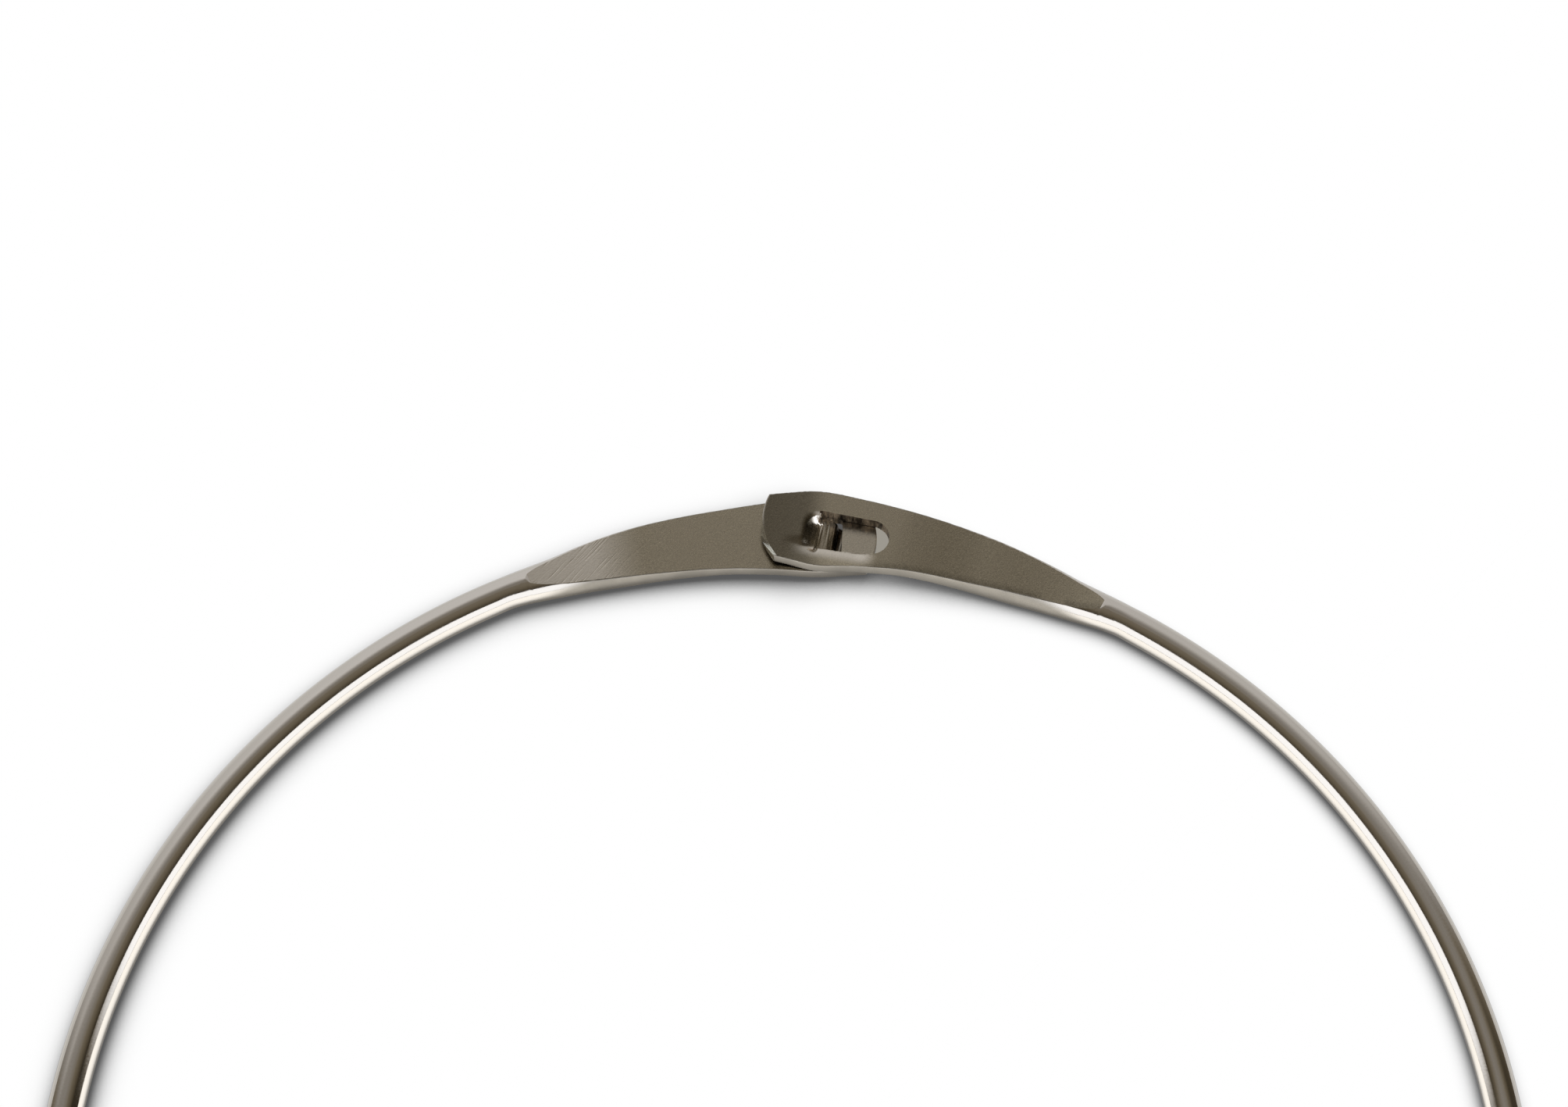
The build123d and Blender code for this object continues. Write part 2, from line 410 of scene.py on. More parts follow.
def dish_share(ring, along, across):
    """Share of the dish's depth: whole in its middle, with a steep wall on the outer side."""
    wall_foot, inner_edge, inner_floor = 0.76 * MM, -2.2 * MM, -0.7 * MM
    widening = 0.5 * MM * ease(-0.25 * MM, -0.75 * MM, along)
    far = clamp((wall_foot + ring.dish_wall - across) / (ring.dish_wall + widening))
    roundness = 0.3
    wall = (1 - roundness) * far + roundness * ease(0.0, 1.0, far)
    return wall * ease(inner_edge, inner_floor, across)


def rim(ring, along, across):
    """How far the slot's inner edge is pulled down, over a strip that ends at the blade's."""
    half = slot_half_width(ring, along)
    part = clamp((across + half + ring.rim_width) / ring.rim_width)
    drop = ring.rim_drop * part**1.5 * ease(-0.8 * MM, -1.6 * MM, across)
    from_root, to_end = ease(-2.5 * MM, 0.2 * MM, along), ease(4.9 * MM, 3.0 * MM, along)
    return drop * from_root * to_end


def drawn(ring, along, across):
    """How far the upper face is drawn down round the tongue's root."""
    fade = ease(0.45 * MM, 0.0, along)
    return rim(ring, along, across) + dish(ring, along) * dish_share(ring, along, across) * fade


def worn(ring, turn, side, height):
    """Rounding of a long edge, which starts at nothing where the flat does."""
    spot = Vector((turn * 260.0, side * 3.0, height / MM))
    uneven = 1 + ring.edge_wear * noise.noise(spot) + ring.edge_wear * noise.noise(spot * 3.1)
    at = (ring.blade_angle - turn) / ring.blade_angle
    return ring.edge_round * uneven * ease(0.0, 0.25, at)


def side_place(ring, blade, turn, side, step):
    """Offset and height of a step down a side, from the upper corner to the lower."""
    oval = body(ring, blade, turn)
    if turn > ring.blade_angle:
        into = ease(ring.joint_angle, ring.blade_angle, turn)
        reach = lead_reach(ring, turn)
        inner = clamp((step - ring.corner_steps) / ring.side_steps)
        part = mix(step / ring.edge_steps, inner, into)
        return on_oval(oval, side, mix(pi / 2 - reach, -pi / 2 + reach, part))
    over = 1 if step <= ring.edge_steps / 2 else -1
    near, offset, level = corner(ring, blade, turn, side, over)
    far = corner(ring, blade, turn, side, -over)[0]
    rounding = worn(ring, turn, side, level)
    stretch = hypot(oval.half_width * sin(near), oval.half_height * cos(near))
    inset = min(rounding / stretch, 0.2 * abs(near - far))
    ends = (near - over * inset, far + over * inset)
    from_corner = step if over > 0 else ring.edge_steps - step
    if from_corner >= ring.corner_steps:
        part = (from_corner - ring.corner_steps) / ring.side_steps
        return on_oval(oval, side, mix(ends[0], ends[1], part))
    part = from_corner / ring.corner_steps
    start = (offset - side * rounding, level)
    return tuple(
        (1 - part) ** 2 * a + 2 * part * (1 - part) * b + part * part * c
        for a, b, c in zip(start, (offset, level), on_oval(oval, side, ends[0]))
    )


def lead_reach(ring, turn):
    """Half angle of the wire's top that gathers into the flat's point, along the lead."""
    widest = pi * ring.face_steps / ring.around
    return widest * ease(ring.blade_angle, ring.joint_angle, turn)


def face_place(ring, blade, turn, over, part):
    """Offset and height on a face, from the inner edge (0) to the outer (1)."""
    if turn > ring.blade_angle:
        oval = body(ring, blade, turn)
        lean = mix(-1, 1, part) * lead_reach(ring, turn)
        return (
            oval.centre + oval.half_width * sin(lean),
            oval.middle + over * oval.half_height * cos(lean),
        )
    edges = []
    for side in (-1, 1):
        _, offset, level = corner(ring, blade, turn, side, over)
        edges.append(offset - side * worn(ring, turn, side, level))
    offset = mix(edges[0], edges[1], part)
    return offset, pressed(ring, blade, turn, offset, over)


def section_place(ring, blade, turn, step):
    """Offset and height of one step round a blade's section."""
    faces, sides = ring.face_steps, ring.edge_steps
    if step <= faces:
        return face_place(ring, blade, turn, 1, step / faces)
    if step <= faces + sides:
        return side_place(ring, blade, turn, 1, step - faces)
    if step <= 2 * faces + sides:
        return face_place(ring, blade, turn, -1, 1 - (step - faces - sides) / faces)
    return side_place(ring, blade, turn, -1, 2 * (faces + sides) - step)


def tip_turn(ring, blade, offset):
    """Angle at which a blade's convex end lies, past the lock."""
    across = min(abs(offset - blade.crown), 0.98 * ring.tip_radius)
    along = ring.tip_radius - blade.lap - sqrt(ring.tip_radius**2 - across**2)
    return atan2(along, ring.ring_radius + offset)


def slant(ring, blade, offset, step):
    """Turn by which the upper tip's sheared end leans: all but its upper edge reaches out."""
    if not blade.curled:
        return 0.0
    low = clamp((step - ring.face_steps) / ring.edge_steps)
    inner = ease(blade.crown + 0.4 * MM, blade.crown - 1.5 * MM, offset)
    upper_share = 0.35
    return ring.end_slant * inner * (upper_share - low) / ring.ring_radius


def blade_point(ring, blade, station, step):
    """Point of a blade's skin, for a station of stations() and a step round the section."""
    turn, skew, end = station
    for _ in range(3):
        offset, height = section_place(ring, blade, turn, step)
        if skew == 0.0:
            break
        ahead = tip_turn(ring, blade, offset) - tip_turn(ring, blade, 0.0)
        turn = station[0] + skew * ahead + slant(ring, blade, offset, step) * skew**4
    if end > 0.0:
        short = ring.end_round * (1 - cos(end * pi / 2))
        over, under = (pressed(ring, blade, turn, 0.0, face) for face in (1, -1))
        middle, half = (over + under) / 2, (over - under) / 2
        height = middle + (height - middle) * (1 - short / half)
        offset *= 1 - short / (2 * MM)
    flat = over_floor(ring, turn, offset)
    if blade.curled and step <= ring.face_steps:
        height -= drawn(ring, *slot_frame(ring, flat.x, flat.y))
    return Vector((blade.hand * flat.x, flat.y, height))


def stations(ring, blade):
    """Stations from the joint to the tip: the angle, the share of the end's curve that it
    follows and, on the last few, how far it has turned over the end's edge."""
    found = []
    for i in range(ring.lead_steps):
        found.append((mix(ring.joint_angle, ring.blade_angle, i / ring.lead_steps), 0.0, 0.0))
    first, crowding = 0.004, 1.5
    for i in range(ring.ramp_steps):
        part = max(i / ring.ramp_steps, first) ** crowding
        found.append((mix(ring.blade_angle, ring.level_angle, part), 0.0, 0.0))
    tip = tip_turn(ring, blade, 0.0)
    edge = ring.end_round / ring.ring_radius
    for i in range(ring.head_steps + 1):
        turn = mix(ring.level_angle, tip + edge, i / ring.head_steps)
        found.append((turn, ease(ring.level_angle * 0.4, tip, turn), 0.0))
    for i in range(1, ring.corner_steps + 1):
        end = i / ring.corner_steps
        found.append((tip + edge * (1 - sin(end * pi / 2)), 1.0, end))
    return found


def wire_point(ring, turn, step):
    """Point of the round wire, at an angle clockwise from the lock."""
    lean = pi * (2 * step - ring.face_steps) / ring.around
    flat = over_floor(ring, turn, ring.wire_radius * sin(lean))
    return Vector((flat.x, flat.y, ring.wire_radius * (1 + cos(lean))))


# --- Modelling ---------------------------------------------------------------------------


def only(piece):
    """Makes a piece the one selected and active object."""
    bpy.ops.object.select_all(action="DESELECT")
    piece.select_set(True)
    bpy.context.view_layer.objects.active = piece


def apply_all(piece):
    """Applies every modifier of a piece."""
    only(piece)
    for modifier in list(piece.modifiers):
        bpy.ops.object.modifier_apply(modifier=modifier.name)


def settle(piece):
    """Moves a piece's place into its mesh, so that its object is at the origin."""
    only(piece)
    bpy.ops.object.transform_apply(location=True, rotation=True, scale=True)


def start_edit(piece):
    """Goes into edit mode, with all of a piece selected."""
    only(piece)
    bpy.ops.object.mode_set(mode="EDIT")
    bpy.ops.mesh.select_all(action="SELECT")


def end_edit():
    """Turns all faces outwards and leaves edit mode."""
    bpy.ops.mesh.select_all(action="SELECT")
    bpy.ops.mesh.normals_make_consistent(inside=False)
    bpy.ops.object.mode_set(mode="OBJECT")


def tidy_mesh(piece):
    """Merges what coincides and turns the faces outwards."""
    start_edit(piece)
    bpy.ops.mesh.remove_doubles(threshold=0.0004 * MM)
    end_edit()


def add_grid(name, around, rows):
    """A grid to be wrapped round a section: its steps run around, and its rows along."""
    bpy.ops.object.select_all(action="DESELECT")
    bpy.ops.mesh.primitive_grid_add(x_subdivisions=around, y_subdivisions=rows - 1)
    grid = bpy.context.object
    grid.name = name
    return grid


# Places of the finishes on the ring
WIRE, FLAT, SHEARED, CUT = range(4)


def add_body(ring, blades, finishes):
    """The wire and both blades: a grid wrapped round the section, from tip to tip."""
    around = ring.around
    upper, lower = blades
    rows = [("blade", lower, station) for station in reversed(stations(ring, lower))]
    first, last = -ring.joint_angle, -2 * pi + ring.joint_angle
    for i in range(1, ring.wire_steps):
        rows.append(("wire", None, mix(first, last, i / ring.wire_steps)))
    rows += [("blade", upper, station) for station in stations(ring, upper)]

    piece = add_grid("key_ring", around, len(rows))
    mesh = piece.data
    mesh.name = "key_ring"
    for row, (kind, blade, station) in enumerate(rows):
        for step in range(around + 1):
            vertex = mesh.vertices[row * (around + 1) + step]
            if kind == "wire":
                vertex.co = wire_point(ring, station, step)
            else:
                vertex.co = blade_point(ring, blade, station, step % around)
    settle_faces(ring, mesh, rows)
    for finish in finishes:
        mesh.materials.append(finish)
    tidy_mesh(piece)
    close_tips(ring, piece, blades)
    return piece


def settle_faces(ring, mesh, rows):
    """Gives the flats their own finish, and a crease where the tool's edge left one."""
    upper_end = ring.face_steps
    lower_start = upper_end + ring.edge_steps
    lower_end = lower_start + ring.face_steps
    creases = {0, upper_end, lower_start, lower_end, ring.around}
    on_flat = set()
    for row, (kind, _, station) in enumerate(rows):
        if kind == "blade" and station[0] <= ring.blade_angle:
            on_flat.add(row)
    for polygon in mesh.polygons:
        row, step = divmod(polygon.index, ring.around)
        on_face = step < upper_end or lower_start <= step < lower_end
        if on_face and row in on_flat and row + 1 in on_flat:
            polygon.material_index = FLAT
    for edge in mesh.edges:
        (low_row, low), (high_row, high) = (divmod(v, ring.around + 1) for v in edge.vertices)
        if low == high and low in creases and {low_row, high_row} <= on_flat:
            edge.use_edge_sharp = True


def close_tips(ring, piece, blades):
    """Fills the sheared end of either blade."""
    start_edit(piece)
    mesh = bmesh.from_edit_mesh(piece.data)
    open_edges = [edge for edge in mesh.edges if edge.is_boundary]
    for blade in blades:
        side = [edge for edge in open_edges if edge.verts[0].co.x * blade.hand < 0]
        fill_end(mesh, side)
    bmesh.update_edit_mesh(piece.data)
    end_edit()


def fill_end(mesh, edges):
    """Strips of faces between the upper and the lower half of an open end."""
    ordered = [edges[0].verts[0], edges[0].verts[1]]
    links = {}
    for edge in edges:
        for vertex in edge.verts:
            links.setdefault(vertex, []).append(edge.other_vert(vertex))
    while True:
        ahead = [v for v in links[ordered[-1]] if v is not ordered[-2]]
        if ahead[0] is ordered[0]:
            break
        ordered.append(ahead[0])
    inner = min(range(len(ordered)), key=lambda i: ordered[i].co.xy.length)
    ordered = ordered[inner:] + ordered[:inner]
    for i in range(len(ordered) // 2):
        corners = (ordered[i], ordered[i + 1], ordered[-i - 1], ordered[-i])
        face = list(dict.fromkeys(corners))
        if len(face) > 2:
            mesh.faces.new(face).material_index = CUT


def slot_outline(ring, step):
    """Points round the slot, a step apart: inner side, round end, outer side and root."""
    half_root, half_end = ring.slot_root_width / 2, ring.slot_end_width / 2
    centre = ring.slot_length - half_end
    points = []
    sides = round(centre / step)
    for i in range(sides):
        at = i / sides
        points.append((at * centre, -mix(half_root, half_end, at)))
    turns = round(pi * half_end / step)
    for i in range(turns):
        turn = -pi / 2 + pi * i / turns
        points.append((centre + half_end * cos(turn), half_end * sin(turn)))
    for i in range(sides):
        at = 1 - i / sides
        points.append((at * centre, mix(half_root, half_end, at)))
    root = round(ring.slot_root_width / step)
    for i in range(root):
        points.append((0.0, half_root - ring.slot_root_width * i / root))
    return points


def add_punch(ring, name, points, low, high, layers, finish):
    """A punch with torn walls: an outline raised in layers, ragged towards its foot."""
    bpy.ops.object.select_all(action="DESELECT")
    bpy.ops.mesh.primitive_circle_add(vertices=len(points), fill_type="NGON")
    punch = bpy.context.object
    punch.name = name
    mesh = punch.data
    for vertex, (x, y) in zip(mesh.vertices, points):
        vertex.co = (x, y, low)
    start_edit(punch)
    for _ in range(layers):
        bpy.ops.mesh.extrude_region_move(
            TRANSFORM_OT_translate={"value": (0, 0, (high - low) / layers)}
        )
    bpy.ops.object.mode_set(mode="OBJECT")
    middle = sum((Vector(p) for p in points), Vector((0, 0))) / len(points)
    for vertex in mesh.vertices:
        out = (vertex.co.xy - middle).normalized()
        spot = vertex.co / MM
        upright = Vector((spot.x * 6.0, spot.y * 6.0, spot.z * 1.3))
        grain = noise.noise(upright) + 0.6 * noise.noise(spot * 11.0)
        depth = ease(high, mix(high, low, 0.7), vertex.co.z)
        vertex.co.xy += out * ring.torn * grain * (0.25 + depth)
    mesh.materials.append(finish)
    tidy_mesh(punch)
    return punch


def combine(piece, other, operation):
    """Cuts or joins another mesh into a piece, and deletes it."""
    modifier = piece.modifiers.new("combine", "BOOLEAN")
    modifier.operation = operation
    modifier.solver = "EXACT"
    modifier.material_mode = "TRANSFER"
    modifier.object = other
    apply_all(piece)
    bpy.data.objects.remove(other)


def cut_slot(ring, piece, finish):
    """The slot that the tongue was lanced out of."""
    step, layers = 0.08 * MM, 16
    points = [slot_place(ring, *place).xy for place in slot_outline(ring, step)]
    high = ring.upper_height + ring.thickness
    punch = add_punch(ring, "slot_punch", points, ring.gap_middle, high, layers, finish)
    combine(piece, punch, "DIFFERENCE")


def rounded_box(width, depth, radius, step):
    """Points round a rectangle with round corners, about its middle."""
    points = []
    corners = 5
    for quarter in range(4):
        turn = Matrix.Rotation(quarter * pi / 2, 2)
        along = (depth if quarter % 2 == 0 else width) / 2 - radius
        across = (width if quarter % 2 == 0 else depth) / 2 - radius
        sides = max(2, round(2 * along / step))
        for i in range(sides):
            place = Vector((across + radius, mix(-along, along, i / sides)))
            points.append(turn @ place)
        for i in range(corners):
            lean = pi / 2 * i / corners
            place = Vector((across + radius * cos(lean), along + radius * sin(lean)))
            points.append(turn @ place)
    return points


def cut_window(ring, piece, finish):
    """The window that the tongue passes down through."""
    step, layers = 0.12 * MM, 20
    end = slot_place(ring, ring.bend_run, 0.0).x + ring.window_end_play
    middle = Vector((end - ring.window_length / 2, slot_place(ring, ring.bend_run / 2, 0.0).y))
    depth = ring.slot_root_width + 2 * ring.window_play
    outline = rounded_box(ring.window_length, depth, ring.window_corner, step)
    points = [middle + point for point in outline]
    punch = add_punch(ring, "window_punch", points, -MM, ring.gap_middle, layers, finish)
    combine(piece, punch, "DIFFERENCE")


# Slope of the tongue's top past the dish: the run along the top, then the degrees
TONGUE_SLOPES = ((0.0, 35.0), (0.12, 14.0), (0.5, 12.0), (0.85, 22.0), (1.1, 42.0), (1.5, 76.0))
# Share of its thickness that the bend leaves the tongue, by the same run
TONGUE_THINNING = ((0.3, 1.0), (0.9, 0.5), (1.5, 0.5))


def tongue_path(ring, step):
    """Places along the tongue's top: along the slot, height, slope downwards and thickness."""
    top = ring.upper_height + ring.thickness / 2
    start, brow = -0.10 * MM, 0.20 * MM
    path = []
    for i in range(round((brow - start) / step) + 1):
        along = start + i * step
        path.append((along, top - dish(ring, along), ring.dish_slope, ring.thickness))
    along, height, slope, thick = path[-1]
    rows = [(run * MM, radians(lean)) for run, lean in TONGUE_SLOPES]
    floor_top = ring.tongue_height + ring.thickness / 2
    foot = floor_top + ring.bend_radius * (1 - cos(ring.bend_turn))
    run = 0.0
    while height > foot:
        run += step / 2
        slope = smooth_through(rows, run)
        thick = ring.thickness * smooth_through(TONGUE_THINNING, run / MM, 1, (0.0, 0.0))
        along, height = along + step / 2 * cos(slope), height - step / 2 * sin(slope)
        path.append((along, height, slope, thick))
    turns = 9
    bend_start = along
    for i in range(1, turns + 1):
        turn = ring.bend_turn * (1 - i / turns)
        along = bend_start + ring.bend_radius * (sin(ring.bend_turn) - sin(turn))
        height = floor_top + ring.bend_radius * (1 - cos(turn))
        path.append((along, height, turn, mix(thick, ring.thickness, ease(0, turns, i))))
    steps = round(ring.hook / step)
    for i in range(1, steps + 1):
        path.append((along + ring.hook * i / steps, floor_top, 0.0, ring.thickness))
    return path


# Steps across the tongue, round each long edge and down each side
TONGUE_STEPS = (40, 3, 5)


def tongue_section(step, half, thick):
    """Place across and below the strip's top, on a rectangle with round edges."""
    across, corners, down = TONGUE_STEPS
    inset, rounding = 0.012 * MM, 0.09 * MM
    thick -= 2 * inset
    half_loop = across + down + 2 * corners
    mirrored = step >= half_loop
    step %= half_loop
    edge = min(rounding, 0.4 * half)
    if step <= across:
        side, below = mix(-half + edge, half - edge, step / across), 0.0
    elif step <= across + corners:
        lean = pi / 2 * (step - across) / corners
        side, below = half - edge + edge * sin(lean), edge - edge * cos(lean)
    elif step <= across + corners + down:
        side, below = half, mix(edge, thick - edge, (step - across - corners) / down)
    else:
        lean = pi / 2 * (step - across - corners - down) / corners
        side, below = half - edge + edge * cos(lean), thick - edge + edge * sin(lean)
    if mirrored:
        side, below = -side, thick - below
    return side, below + inset


def add_tongue(ring, finish):
    """The strip that was the slot's metal: a grid wrapped round its section."""
    path = tongue_path(ring, 0.05 * MM)
    across, corners, down = TONGUE_STEPS
    around = 2 * (across + down + 2 * corners)
    reach = path[-1][0]
    half_root = ring.slot_root_width / 2 - ring.tongue_play
    half_end = ring.slot_end_width / 2 - ring.tongue_play
    round_start = reach - half_end
    strip = add_grid("tongue", around, len(path))
    for row, (along, height, slope, thick) in enumerate(path):
        half = mix(half_root, half_end, clamp(along / reach))
        if along > round_start:
            nearly_closed = 0.995
            part = min(nearly_closed, (along - round_start) / half_end)
            half = half_end * sqrt(1 - part * part)
        torn_up = dish(ring, along) * ease(0.42 * MM, 0.12 * MM, along)
        height -= 0.03 * MM * ease(0.08 * MM, 0.0, along)
        for step in range(around + 1):
            side, below = tongue_section(step % around, half, thick)
            place = slot_place(ring, along - below * sin(slope), side)
            place.z = height - below * cos(slope)
            if below < thick / 2:
                place.z += torn_up * (1 - dish_share(ring, along, max(side, 0.0)))
                place.z += streaks(along, side)
            strip.data.vertices[row * (around + 1) + step].co = place
    strip.data.materials.append(finish)
    tidy_mesh(strip)
    start_edit(strip)
    bpy.ops.mesh.select_all(action="DESELECT")
    bpy.ops.mesh.select_non_manifold(extend=False)
    bpy.ops.mesh.edge_face_add()
    end_edit()
    return strip


def streaks(along, side):
    """Low ridges that the bend left across the tongue's brow."""
    spot = Vector((along / MM * 5.0, side / MM * 0.35, 4.0))
    fine = Vector((along / MM * 11.0, side / MM * 0.6, 9.0))
    ridge = noise.noise(spot) + 0.4 * noise.noise(fine)
    strength = ease(-1.3 * MM, 0.9 * MM, side) * 0.7 + 0.3
    return 0.045 * MM * ridge * strength * ease(0.1 * MM, 0.3 * MM, along)


def painted_highlight_spots(along, across):
    """Painted highlights on the lock's top, by millimetres along and across the slot."""
    beside_root = ease(1.0, 0.35, hypot((along + 0.10) / 0.50, (across - 0.97) / 0.60))
    rim_strip = ease(-0.9, -1.5, across) * ease(-2.6, -1.65, across)
    rim_strip *= ease(-2.0, 0.2, along) * ease(4.9, 3.6, along)
    brow = ease(0.05, 0.35, along) * ease(1.3, 0.9, along)
    brow *= ease(-0.2, 0.9, across) * ease(1.52, 1.42, across)
    return max(beside_root, 0.52 * rim_strip, 0.85 * brow)


def wear(ring, upper, place):
    """Painted highlight, painted shade and squeezed plate at a place, each from 0 to 1."""
    along, across = (size / MM for size in slot_frame(ring, place.x, place.y))
    turn = atan2(place.x, place.y)
    offset = place.xy.length - ring.ring_radius
    on_top = ease(2.05 * MM, 2.15 * MM, place.z)

    # The top edge of the upper tip's end gets a painted highlight too
    burnished = painted_highlight_spots(along, across) * on_top
    from_end = (turn - tip_turn(ring, upper, offset)) * ring.ring_radius
    if turn < 0:
        burnished = max(burnished, 0.5 * ease(0.12 * MM, 0.02 * MM, from_end) * on_top)

    # Painted shade in the dish and along the upper blade's inner edge. Down in the slot, what lies
    # under the upper blade is painted dark on its outer side and gets a faint painted highlight
    funnel = ease(1.0, 0.2, hypot((along + 0.42) / 0.95, (across - 0.25) / 1.3))
    soiled = 0.5 * funnel * ease(0.12, 0.0, along) * on_top
    if -0.6 < along < 5.6 and on_top < 0.5:
        burnished = max(burnished, 0.18)
        soiled = max(soiled, 0.75 * ease(0.35, 1.15, across))
    if 0.04 < turn < ring.blade_angle and place.z > 2.3 * MM:
        inside = (offset - corner(ring, upper, turn, -1, 1)[1]) / MM
        soiled = max(soiled, 0.30 * ease(0.75, 0.05, inside) * ease(0.05, 0.11, turn))

    # The sides are squeezed from the flat's start on, the inner one and the lower part sooner.
    # Their darker tone is partly painted shade, for the shaded floor that they reflect
    into = 1 - abs(turn) / ring.blade_angle - 0.22 * (place.z / ring.wire_radius - 0.9)
    inner = ease(-0.10, 0.05, into) * ease(0.2 * MM, -0.8 * MM, offset)
    outer = ease(0.10, 0.35, into) * ease(0.2 * MM, 0.8 * MM, offset)
    return burnished, soiled, max(inner, outer)


# Attributes that hold what wear() gives: painted highlight, painted shade and squeezed plate
PAINTED_LIGHT_AND_SQUEEZE = ("burnished", "soiled", "squeezed")


def mark_painted_light_and_squeeze(ring, piece, upper):
    """Keeps the painted highlight, painted shade and squeezed plate on the piece, for its finish.
    """
    mesh = piece.data
    found = [wear(ring, upper, vertex.co) for vertex in mesh.vertices]
    for part, name in enumerate(PAINTED_LIGHT_AND_SQUEEZE):
        layer = mesh.attributes.new(name, "FLOAT", "POINT")
        layer.data.foreach_set("value", [shares[part] for shares in found])


def finish_shading(piece):
    """Smooth faces, with a crease at each sheared edge."""
    start_edit(piece)
    bpy.ops.mesh.select_mode(type="EDGE")
    bpy.ops.mesh.select_all(action="DESELECT")
    crease = radians(38)
    bpy.ops.mesh.edges_select_sharp(sharpness=crease)
    bpy.ops.mesh.mark_sharp()
    bpy.ops.mesh.select_all(action="SELECT")
    bpy.ops.mesh.faces_shade_smooth()
    bpy.ops.object.mode_set(mode="OBJECT")


# --- Finishes ----------------------------------------------------------------------------


class Nodes:
    """Short way to wire up a material or world."""

    def __init__(self, owner):
        owner.use_nodes = True
        self.tree = owner.node_tree
        self.tree.nodes.clear()

    def add(self, kind, inputs=None, **settings):
        node = self.tree.nodes.new(kind)
        for key, value in settings.items():
            setattr(node, key, value)
        for key, value in (inputs or {}).items():
            if isinstance(value, bpy.types.NodeSocket):
                self.tree.links.new(value, node.inputs[key])
            else:
                node.inputs[key].default_value = value
        return node

    def math(self, operation, first, second=0.0, third=0.0):
        inputs = {0: first, 1: second, 2: third}
        return self.add("ShaderNodeMath", inputs, operation=operation).outputs[0]

    def split(self, vector):
        return self.add("ShaderNodeSeparateXYZ", {0: vector}).outputs

    def attribute(self, name):
        return self.add("ShaderNodeAttribute", attribute_name=name).outputs["Fac"]

    def noise(self, place, scale, detail=2.0):
        """Cloudy values about 0.5, with so many patches a metre."""
        inputs = {"Vector": place, "Scale": scale, "Detail": detail}
        return self.add("ShaderNodeTexNoise", inputs).outputs["Fac"]

    def spread(self, value, start, end, low=0.0, high=1.0, curve="SMOOTHSTEP"):
        """From low to high while a value goes from start to end."""
        inputs = {"Value": value, "From Min": start, "From Max": end, "To Min": low, "To Max": high}
        return self.add("ShaderNodeMapRange", inputs, interpolation_type=curve).outputs[0]

    def blend(self, part, low, high):
        """A number between two others."""
        inputs = {"Factor": part, 2: low, 3: high}
        return self.add("ShaderNodeMix", inputs, data_type="FLOAT").outputs[0]

    def blend_tones(self, part, low, high):
        """A colour between two others."""
        inputs = {"Factor": part, 6: low, 7: high}
        return self.add("ShaderNodeMix", inputs, data_type="RGBA").outputs[2]

    def bump(self, height, strength, distance, under=None):
        """Fine relief, over that of another bump where there is one."""
        inputs = {"Height": height, "Strength": strength, "Distance": distance}
        if under is not None:
            inputs["Normal"] = under
        return self.add("ShaderNodeBump", inputs).outputs[0]

    def mix_shaders(self, part, low, high):
        inputs = {0: part, 1: low.outputs[0], 2: high.outputs[0]}
        return self.add("ShaderNodeMixShader", inputs)

    def metal(self, tone, roughness, normal):
        """The material's surface, as bare metal."""
        inputs = {"Base Color": tone, "Metallic": 1.0, "Roughness": roughness, "Normal": normal}
        shader = self.add("ShaderNodeBsdfPrincipled", inputs)
        self.add("ShaderNodeOutputMaterial", {"Surface": shader.outputs[0]})

    def ramp(self, value, stops, interpolation="LINEAR"):
        """Grey or coloured values at places from 0 to 1."""
        node = self.add("ShaderNodeValToRGB", {"Fac": value})
        node.color_ramp.interpolation = interpolation
        while len(node.color_ramp.elements) < len(stops):
            node.color_ramp.elements.new(0.5)
        for element, (place, tone) in zip(node.color_ramp.elements, stops):
            element.position = place
            element.color = tone if hasattr(tone, "__len__") else (tone, tone, tone, 1)
        return node.outputs["Color"]

    def mottle(self, value, tone, *stops):
        """Shades of one colour: the places of the stops, with the brightness at each."""
        return self.ramp(value, [(place, shaded(tone, factor)) for place, factor in stops])


def opaque(tone):
    return (*tone, 1.0)


def shaded(tone, factor):
    return opaque([min(1.0, part * factor) for part in tone])


def new_material(name):
    """A material, its nodes and the place on the object that they go by."""
    material = bpy.data.materials.new(name)
    nodes = Nodes(material)
    return material, nodes, nodes.add("ShaderNodeTexCoord").outputs["Object"]


